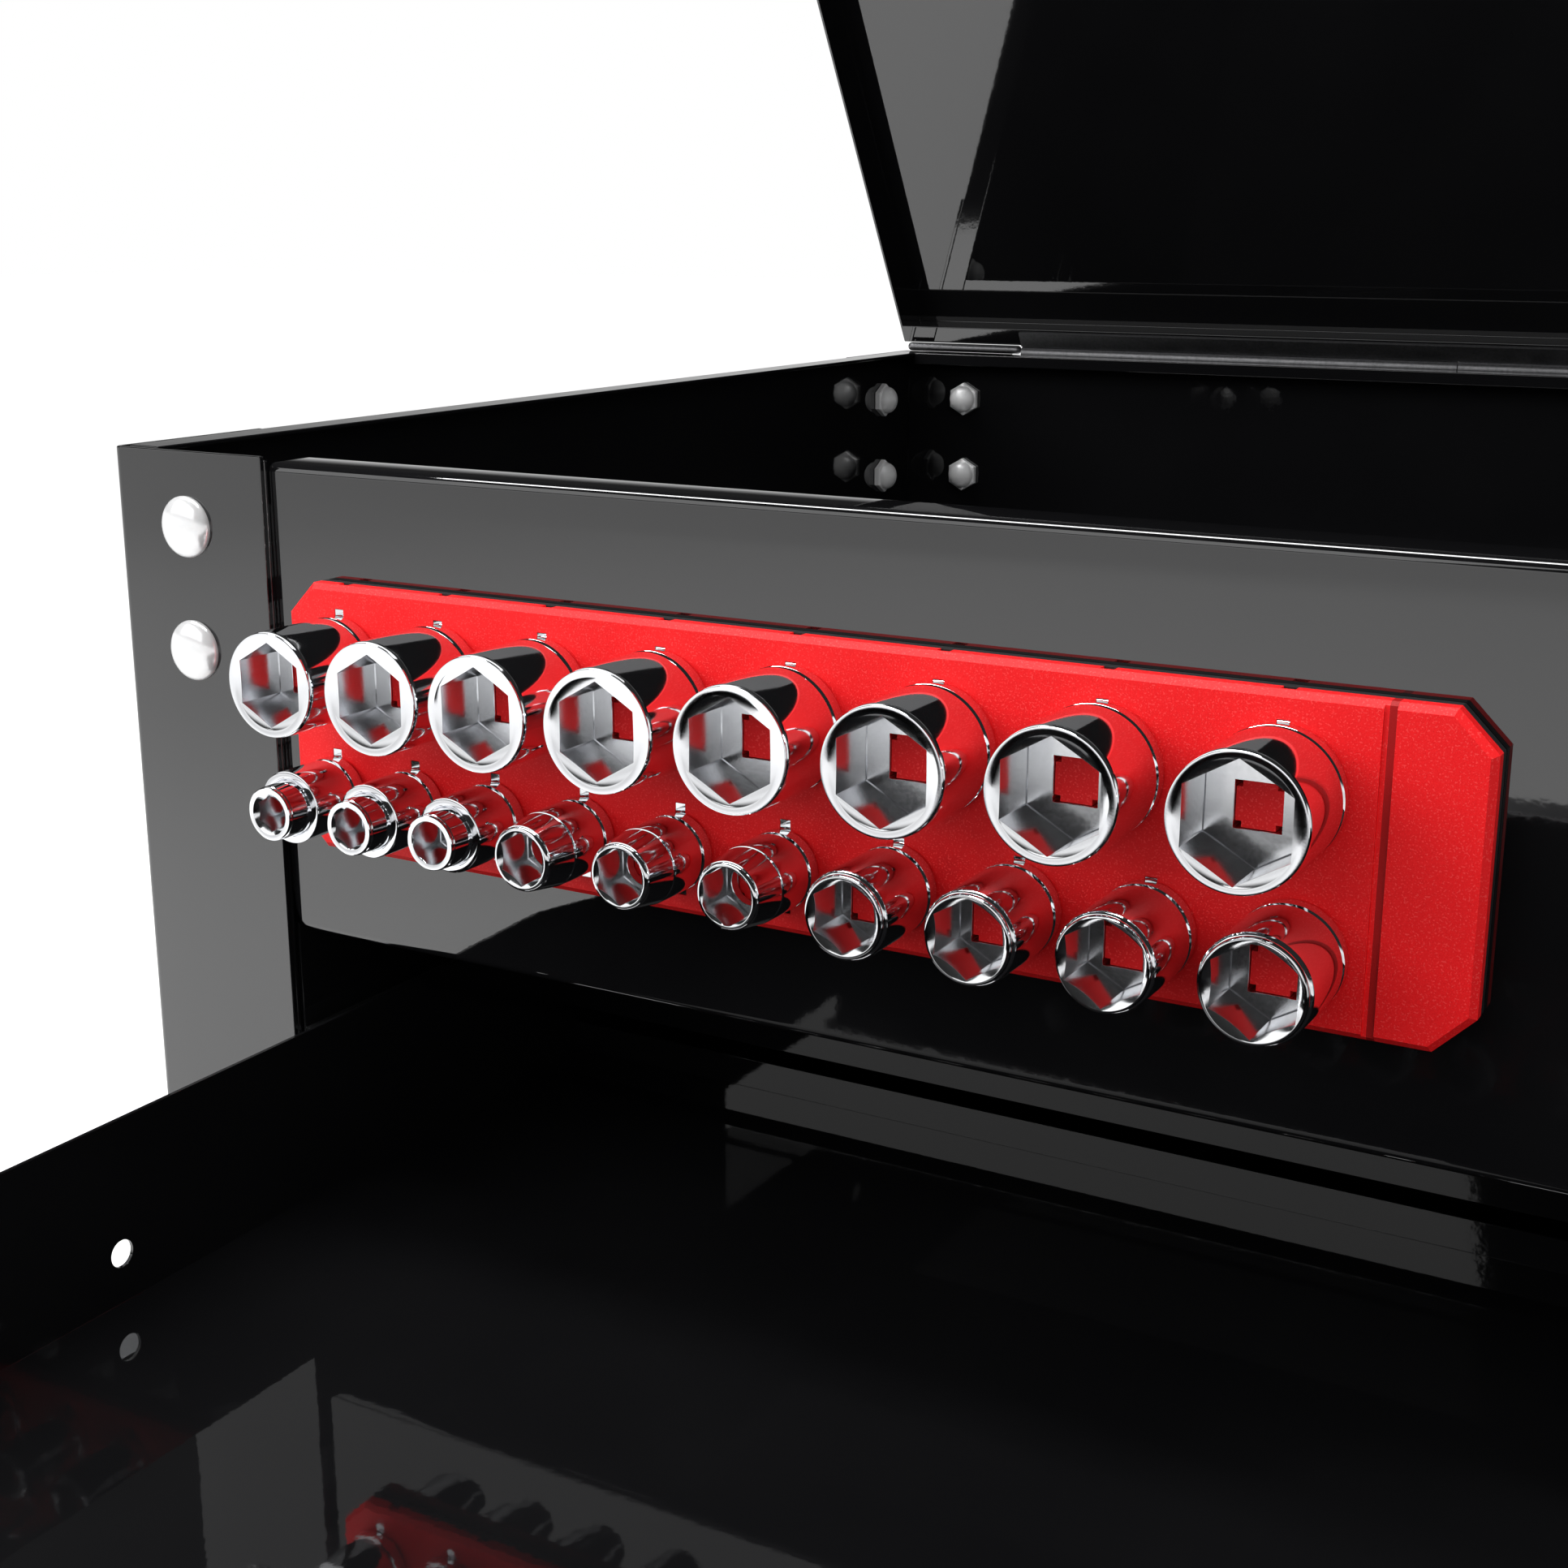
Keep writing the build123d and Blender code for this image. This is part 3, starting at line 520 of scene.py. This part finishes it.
def outside_rows(outer, hexagon, length, kind):
    """(radius, height) pairs in mm from the seat up the outside to the face, with a groove near
    the seat, and the radius where the face turns into the mouth."""
    rows = [(outer - 0.9, 0.2), (outer - 0.55, 0.3), (outer - 0.2, 0.6), (outer, 1.1)]
    rows += [(outer, 4.0), (outer - 0.1, 4.12), (outer - 0.5, 4.35)]
    rows += [(outer - 0.5, 4.75), (outer - 0.1, 5.25), (outer, 5.4)]
    corner = hexagon / 3**0.5
    if kind == "stepped":
        rows += [(outer, 17.7), (outer - 0.1, 18.05), (outer - 0.4, 18.2), (outer - 1.6, 18.2)]
        rows += [(outer - 1.75, 18.1), (outer - 1.75, 17.9)]
        rows += [(7.2, 17.9), (7.05, 18.1), (6.9, 18.7)]
        rows += [(6.75, length - 1.1), (6.6, length - 0.9), (6.45, length - 0.85)]
        rows += [(6.45, length - 0.55), (6.6, length - 0.5), (6.6, length - 0.15), (6.4, length)]
        lip = 5.2
    elif kind == "tapered":
        rows += [(outer, 15.9), (outer - 0.1, 16.1), (outer - 0.35, 16.2), (outer - 0.35, 16.5)]
        rows += [(outer - 0.12, 16.7), (7.75, length - 1.0), (7.5, length - 0.9)]
        rows += [(7.6, length - 0.7), (7.45, length - 0.35), (7.15, length - 0.08), (6.85, length)]
        lip = 6.55
    elif kind == "large":
        rows += [(outer, length - 1.5), (outer - 0.04, length - 1.2), (outer - 0.14, length - 0.9)]
        rows += [(outer - 0.4, length - 0.75), (outer - 0.45, length - 0.65)]
        rows += [(outer - 0.43, length - 0.45), (outer - 0.28, length - 0.35)]
        rows += [(outer - 0.24, length - 0.1), (outer - 0.32, length)]
        lip = max(outer - 2.1, 1.004 * corner)
    else:
        rows += [(outer, length - 1.7), (outer - 0.08, length - 1.5), (outer - 0.5, length - 1.0)]
        rows += [(outer - 0.62, length - 0.95), (outer - 0.6, length - 0.75)]
        rows += [(outer - 0.68, length - 0.4), (outer - 0.9, length - 0.1), (outer - 1.2, length)]
        lip = max(outer - 1.7, 1.02 * corner)
    return rows, lip


# %% A socket's inside
DRIVE = 9.525  # mm across flats, which is 3/8 inch
DRIVE_TOP, HEXAGON_FLOOR = 12.6, 15.2  # heights in mm
BORED_THROUGH = ("large", "straight")  # the hexagon reaches the drive square without a step
CONE_SLOPE = {"large": 0.1}  # depth of the lead-in cone for each mm of its width
USUAL_SLOPE = 0.8


def inside_rows(lip, hexagon, length, kind):
    """(radius, height) pairs in mm from the face into the mouth, down a cone whose depth is
    slope * (lip - hexagon edge), down the hexagon and out of the drive square."""
    hexagon_edge = polygon_radius(hexagon / 2, 6)
    drive_edge = polygon_radius(DRIVE / 2, 4)
    run = CONE_SLOPE.get(kind, USUAL_SLOPE) * np.maximum(lip - hexagon_edge, 0.0)
    rows = [(lip + 0.12, length), (lip, length - 0.05)]
    rows += [(hexagon_edge, length - 0.1 - run), (hexagon_edge - 0.04, length - 0.3 - run)]
    floor = DRIVE_TOP if kind in BORED_THROUGH else HEXAGON_FLOOR
    rows += [(hexagon_edge - 0.04, floor + 0.25), (hexagon_edge - 0.25, floor)]
    if kind not in BORED_THROUGH:
        well = min(0.4 * hexagon, 5.4)
        rows += [(well + 0.15, floor), (well, floor - 0.15)]
        rows += [(well, DRIVE_TOP + 0.15), (well + 0.1, DRIVE_TOP)]
    rows += [(drive_edge + 0.12, DRIVE_TOP), (drive_edge, DRIVE_TOP - 0.15)]
    rows += [(drive_edge, 0.5), (drive_edge + 0.3, 0.2)]
    return rows


def socket_grid(centre, rows):
    """Points at (radius cos angle, -height, radius sin angle) from a point on the plate's face."""
    radius = np.stack([np.broadcast_to(ring, TURN.shape) for ring, level in rows])
    height = np.stack([np.broadcast_to(level, TURN.shape) for ring, level in rows])
    x = centre[0] + MM * radius * np.cos(TURN)
    y = centre[1] - MM * height
    z = centre[2] + MM * radius * np.sin(TURN)
    return np.stack([x, y, z], axis=-1)


# %% Turn the sockets
# sizes across flats in mm, in the order of the sockets' numbers
TOP_HEXAGONS = (18.0, 18.5, 19.0, 19.5, 20.0, 20.5, 21.0, 21.5)
BOTTOM_HEXAGONS = (8.0, 9.0, 10.0, 11.0, 11.5, 12.0, 14.0, 15.0, 16.0, 17.0)
BOTTOM_KINDS = ["stepped"] * 3 + ["tapered"] * 3 + ["straight"] * 4
SEAT_LIFT = 0.2  # mm between the plate's face and a seated socket
POLISHED_ROWS = 2  # rows of the inside that still belong to the polished face


def turn_socket(node, hexagon, kind):
    """A detailed socket in the place of its node, from the node's own box."""
    low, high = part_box(node)
    outer = (high.x - low.x) / 2 / MM
    length = (high.y - low.y) / MM + SEAT_LIFT
    centre = ((low.x + high.x) / 2, high.y + SEAT_LIFT * MM, (low.z + high.z) / 2)
    outside, lip = outside_rows(outer, hexagon, length, kind)
    rows = outside + inside_rows(lip, hexagon, length, kind)
    mesh = grid_mesh(node + "_turned", [socket_grid(centre, rows)])
    in_bore = np.arange(len(rows)) >= len(outside) + POLISHED_ROWS
    bore = mesh.attributes.new("bore", "FLOAT", "POINT")
    bore.data.foreach_set("value", np.repeat(in_bore, AROUND).astype(np.float32))
    piece = add_piece(node + "_turned", mesh, body_of[node], slot_of[node])
    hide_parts(node)
    return len(mesh.polygons)


faces = [turn_socket(f"socket_top_{n + 1}", size, "large") for n, size in enumerate(TOP_HEXAGONS)]
faces += [
    turn_socket(f"socket_bottom_{n + 1}", size, kind)
    for n, (size, kind) in enumerate(zip(BOTTOM_HEXAGONS, BOTTOM_KINDS))
]
print(len(faces), "sockets,", sum(faces), "quads")

# %% [markdown]
# ## Spring tabs in the windows
# A small steel tab comes up through each window beside a socket. It lies almost level with the
# cover and dips towards the socket. A tab is a short strip: the outline of its section, a line
# with thickness, is carried across its width, and the section shrinks to a line at both ends.

# %% Tabs
SEAT_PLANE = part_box("socket_top_1")[1].y + SEAT_LIFT * MM  # the cover's front face
WINDOW_OFFSETS = {"top": 12.3 * MM, "bottom": 8.9 * MM}  # from a socket's axis to a window
TAB_WIDTH, TAB_THICK = 2.5 * MM, 0.35 * MM
TAB_SINK, TAB_STEP = 0.1, 0.15  # mm
DIP_START, DIP_SPAN, DIP_DEPTH = 0.7, 1.4, 2.6  # mm


def tab_grid(centre, side):
    """Section along u from -1.95 to 1.95 mm: depth 0.1 mm, a small step of 0.15 mm half way, then
    down by 2.6 * (u - 0.7)**1.5 / 1.4 mm; side turns it towards its socket."""
    u = np.array([-1.95, -1.0, -0.1, 0.05, 0.4, 0.7, 1.0, 1.25, 1.5, 1.7, 1.95]) * MM
    dip = np.maximum(u / MM - DIP_START, 0) ** 1.5 / DIP_SPAN * DIP_DEPTH
    depth = (TAB_SINK + np.where(u > 0, TAB_STEP, 0.0) + dip) * MM
    outline_u = np.concatenate([u, u[::-1]])
    outline_depth = np.concatenate([depth, (depth + TAB_THICK)[::-1]])
    middle_depth = np.concatenate([depth, depth[::-1]]) + TAB_THICK / 2
    rows = []
    for across, thin in ((-0.5, True), (-0.5, False), (0.5, False), (0.5, True)):
        y = SEAT_PLANE + (middle_depth if thin else outline_depth)
        x = np.full_like(y, centre[0] + across * TAB_WIDTH)
        rows.append(np.stack([x, y, centre[1] - side * outline_u], axis=-1))
    return np.stack(rows)


tabs = []
for node in slot_of:
    if node.startswith("socket_"):
        low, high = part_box(node)
        x, z = (low.x + high.x) / 2, (low.z + high.z) / 2
        offset = WINDOW_OFFSETS[node.split("_")[1]]
        tabs += [tab_grid((x, z + side * offset), side) for side in (1, -1)]
add_capped("spring_tabs", tabs, "organizer", "keeper_steel")
print(len(tabs), "spring tabs")

# %% [markdown]
# ## Post bolts and their nuts
# The posts are held by bolts with low domed heads, and closed nuts stand on their inner ends.
# A dome is an arc turned round the bolt's axis, and a closed nut is a six-sided collar under a
# round cap. Both are profiles carried round an axis, on whichever face of the chest the bolt
# sits.

# %% Where the bolts are
CHEST_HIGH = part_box("corner_post_back_right")[1]
FRONT_INSET, BACK_INSET = 25.2 * MM, 31.4 * MM  # from the chest's sides, on front and back
SIDE_INSET = 27.3 * MM  # from its front and back, on the sides
BOLT_DROPS = (19.4 * MM, 51.8 * MM)  # below its top


def bolt_axes():
    """(foot, outward direction) of each bolt, on the four faces of the chest."""
    axes = []
    for drop in BOLT_DROPS:
        height = CHEST_HIGH.z - drop
        for a in (-1, 1):
            for b in (-1, 1):
                inset = FRONT_INSET if b < 0 else BACK_INSET
                across = Vector((a * (CHEST_HIGH.x - inset), b * CHEST_HIGH.y, height))
                beside = Vector((a * CHEST_HIGH.x, b * (CHEST_HIGH.y - SIDE_INSET), height))
                axes += [(across, Vector((0, b, 0))), (beside, Vector((a, 0, 0)))]
    return axes


# %% Profiles of a head and a nut
COLUMNS = 48
ROUND = np.arange(COLUMNS) * (2 * pi / COLUMNS)
POLE = 0.0001  # nearly nothing, for an end row before its points are merged
HEAD_RADIUS, HEAD_RIM, HEAD_RISE = 8.0, 0.5, 3.1  # mm
NUT_FLATS, CAP_RADIUS, CAP_START, CAP_RISE = 12.0, 5.6, 2.8, 4.2  # mm
HEAD_ROWS, CAP_ROWS = 12, 10


def turned(foot, axis, radii, heights):
    """Rings of the given radii round an axis: foot + axis * height + radius * (side, z) turned."""
    foot, axis = np.array(foot), np.array(axis)
    side = np.cross(axis, (0, 0, 1))
    lift = np.array((0, 0, 1))
    around = np.cos(ROUND)[:, None] * side + np.sin(ROUND)[:, None] * lift
    radii = np.stack([np.broadcast_to(radius, ROUND.shape) for radius in radii])
    return foot + radii[..., None] * around + np.array(heights)[:, None, None] * axis


def dome(foot, axis):
    """Low dome: a rim 0.5 mm high, then radius 8 cos t and height 0.5 + 3.1 sin t."""
    rise = np.linspace(0, pi / 2, HEAD_ROWS)[:-1]
    radii = [[POLE, HEAD_RADIUS - 0.1], HEAD_RADIUS * np.cos(rise), [POLE]]
    heights = [[0.0, 0.0], HEAD_RIM + HEAD_RISE * np.sin(rise), [HEAD_RIM + HEAD_RISE]]
    return turned(foot, axis, np.concatenate(radii) * MM, np.concatenate(heights) * MM)


def closed_nut(foot, axis, stack):
    """Hexagon collar 12 mm across flats and 2.6 high, under a cap whose radius is 5.6 cos t at
    the height 2.8 + 4.2 sin t; it stands behind a stack of sheets."""
    edge = polygon_radius(NUT_FLATS / 2, 6, ROUND)
    rise = np.linspace(0, pi / 2, CAP_ROWS)[:-1]
    radii = [POLE, edge - 0.3, edge, edge, edge * 0.94, *(CAP_RADIUS * np.cos(rise)), POLE]
    cap = CAP_START + CAP_RISE * np.sin(rise)
    heights = np.array([0.0, 0.0, 0.3, 2.2, 2.6, *cap, CAP_START + CAP_RISE])
    start = np.array(foot) - np.array(axis) * stack
    return turned(start, -np.array(axis), [radius * MM for radius in radii], heights * MM)


# %% Bolt heads and nuts
ACROSS_STACK = 4.0 * MM  # sheets under a bolt on the front and the back
ALONG_STACK = 2.8 * MM  # sheets under a bolt on a side
bolts = bolt_axes()
domes = [dome(foot, axis) for foot, axis in bolts]
heads = add_capped("bolt_heads", domes, "chest", "bolt_chrome")
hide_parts("post_bolts")
nuts = [
    closed_nut(foot, axis, ACROSS_STACK if axis.x == 0 else ALONG_STACK) for foot, axis in bolts
]
caps = add_capped("closed_nuts", nuts, "chest", "nut_steel")
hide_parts("post_nuts")
print(len(domes), "bolts")

# %% [markdown]
# ## Rolls at the hinge's ends
# Beyond its last knuckle the hinge line is closed on each side by a thin rolled strip, which lies
# on the rear post and leaves no slot under the lid. It is a rod with rounded ends: circles along
# the hinge, whose radius falls to nothing over the last millimetres.

# %% Hinge ends
ROLL_RADIUS, ROLL_ROWS = 1.78 * MM, 7
HINGE_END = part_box("hinge_pin")[1].x
ROLL_LINE = (CHEST_HIGH.y - 0.4 * MM, CHEST_HIGH.z + 1.83 * MM)
HINGE_GAP, POST_INSET = 0.4 * MM, 2 * MM  # from a roll to the hinge and to the chest's side


def roll_grid(start, end):
    """Circles of radius R sin(t) at x = end - R (1 - cos(t)) near an end, and of radius R
    between."""
    turn_in = np.linspace(POLE, pi / 2, ROLL_ROWS)
    radii = ROLL_RADIUS * np.concatenate([np.sin(turn_in), np.sin(turn_in)[::-1]])
    inset = ROLL_RADIUS * (1 - np.cos(turn_in))
    x = np.concatenate([start + inset, (end - inset)[::-1]])
    y = ROLL_LINE[0] + radii[:, None] * np.cos(ROUND)
    z = ROLL_LINE[1] + radii[:, None] * np.sin(ROUND)
    return np.stack([np.broadcast_to(x[:, None], y.shape), y, z], axis=-1)


rolls = [
    roll_grid(HINGE_END + HINGE_GAP, CHEST_HIGH.x - POST_INSET),
    roll_grid(POST_INSET - CHEST_HIGH.x, -HINGE_END - HINGE_GAP),
]
add_capped("hinge_end_rolls", rolls, "chest", "hinge_steel")
print(len(rolls), "rolls beyond the hinge")

# %% [markdown]
# ## Room and light
# The chest stands in a white studio under a dark ceiling. Black paint shows this plainly: its
# upright faces mirror the white walls and floor and look grey, and its level ones mirror the
# ceiling and look black. So the world has two jobs. To reflections it is white low down and dark
# overhead, and to the light that falls on the object it is an even, soft grey. The camera sees
# plain white. A white floor gets no brighter than the light on it, so the floor also glows a
# little, and the soft shadow of the chest still shows on it.

# %% Ray kinds
def seen_by(tree, *kinds):
    """1 for rays of the named kinds, and 0 for all others."""
    paths = tree.nodes.new("ShaderNodeLightPath")
    total = Value(tree, paths.outputs[f"Is {kinds[0]} Ray"])
    for kind in kinds[1:]:
        total = total + Value(tree, paths.outputs[f"Is {kind} Ray"])
    return total.above(0.5)


# %% World
world = bpy.data.worlds.new("white_room")
bpy.context.scene.world = world
world.use_nodes = True
tree = world.node_tree
background = tree.nodes["Background"]
background.inputs["Color"].default_value = (1, 1, 1, 1)
SOFT_LIGHT = 0.7  # strength of the even light that falls on the object
CEILING_LIGHT = 0.02  # strength of the dark ceiling in reflections
WALL_TOP, CEILING = 0.02, 0.14  # heights on a unit sphere where white starts and ends to fade
direction = add_node(tree, "ShaderNodeTexCoord", output="Generated")
height = add_node(tree, "ShaderNodeSeparateXYZ", output="Z", Vector=direction)
walls = add_node(
    tree,
    "ShaderNodeMapRange",
    {"interpolation_type": "SMOOTHSTEP"},
    Value=height,
    From_Min=WALL_TOP,
    From_Max=CEILING,
    To_Min=1.0,
    To_Max=CEILING_LIGHT,
)
mirrored = seen_by(tree, "Glossy")
straight = seen_by(tree, "Camera", "Transmission")
fallen = 1.0 - seen_by(tree, "Glossy", "Camera", "Transmission")
connect(tree, background.inputs["Strength"], straight + mirrored * walls + fallen * SOFT_LIGHT)

# %% Floor
FLOOR_SIZE = 24.0
FLOOR_DROP = 0.0005  # below the chest's foot, so that no two faces lie in one plane
half = FLOOR_SIZE / 2
corners = [(-half, -half, 0), (half, -half, 0), (half, half, 0), (-half, half, 0)]
floor_mesh = bpy.data.meshes.new("floor")
floor_mesh.from_pydata(corners, [], [(0, 1, 2, 3)])
floor = bpy.data.objects.new("floor", floor_mesh)
floor.location.z = -FLOOR_DROP
bpy.context.scene.collection.objects.link(floor)

# %% The floor's paint
FLOOR_BASE = 0.6
FLOOR_GLOW = 0.62  # makes the open floor white, and leaves the shadow on it
MIRRORED_GLOW = 0.4  # the same in reflections, where the floor looks a little darker


def grey(level):
    """A neutral colour."""
    return (level, level, level, 1)


floor_paint = bpy.data.materials.new("floor_paint")
floor_paint.use_nodes = True
tree = floor_paint.node_tree
surface = tree.nodes["Principled BSDF"]
surface.inputs["Base Color"].default_value = grey(FLOOR_BASE)
surface.inputs["Roughness"].default_value = 1.0
surface.inputs["Specular IOR Level"].default_value = 0.0
surface.inputs["Emission Strength"].default_value = 1.0
shown = seen_by(tree, "Camera", "Glossy", "Transmission")
glow = mix_colours(tree, shown, grey(0), grey(FLOOR_GLOW))
glow = mix_colours(tree, seen_by(tree, "Glossy"), glow, grey(MIRRORED_GLOW))
connect(tree, surface.inputs["Emission Color"], glow)
floor_mesh.materials.append(floor_paint)

# %% [markdown]
# ## Lamps
# Four flat lamps shape the chest. A large soft box in front on the left lights everything, and a
# long strip overhead draws the bright line along the rolled edge of the till's front. Both are
# mirrored in the metal, as lamps of a studio are. A small key lamp gives the sockets and the
# cover their highlights and shadows, and a fill lamp on the right keeps the far sides from going
# black. These two are left out of reflections, because the paint would show them as white
# squares.


# %% Lamps
def add_lamp(name, place, aim, size, power, mirrored=True):
    """A flat lamp (width, height) in metres with a power in watts that looks at a point."""
    data = bpy.data.lights.new(name, "AREA")
    data.shape = "RECTANGLE"
    data.size, data.size_y = size
    data.energy = power
    lamp = bpy.data.objects.new(name, data)
    lamp.location = place
    lamp.rotation_euler = (Vector(aim) - Vector(place)).to_track_quat("-Z", "Y").to_euler()
    lamp.visible_glossy = mirrored
    bpy.context.scene.collection.objects.link(lamp)


ORGANIZER = (-0.2, -0.23, 0.33)
TILL_LEFT = (-0.59, -0.23, 0.33)
add_lamp("soft_box", (-1.45, -1.95, 1.35), ORGANIZER, (2.4, 1.3), 13)
add_lamp("overhead_strip", (-0.59, -0.36, 1.7), TILL_LEFT, (1.4, 0.3), 18)
add_lamp("key_lamp", (-0.95, -0.85, 0.95), ORGANIZER, (0.6, 0.6), 5.5, mirrored=False)
add_lamp("fill_lamp", (0.9, -1.3, 1.1), ORGANIZER, (0.8, 0.8), 3, mirrored=False)
print("lamps:", ", ".join(lamp.name for lamp in bpy.data.lights))

# %% View transform
view = bpy.context.scene.view_settings
view.view_transform = "Standard"
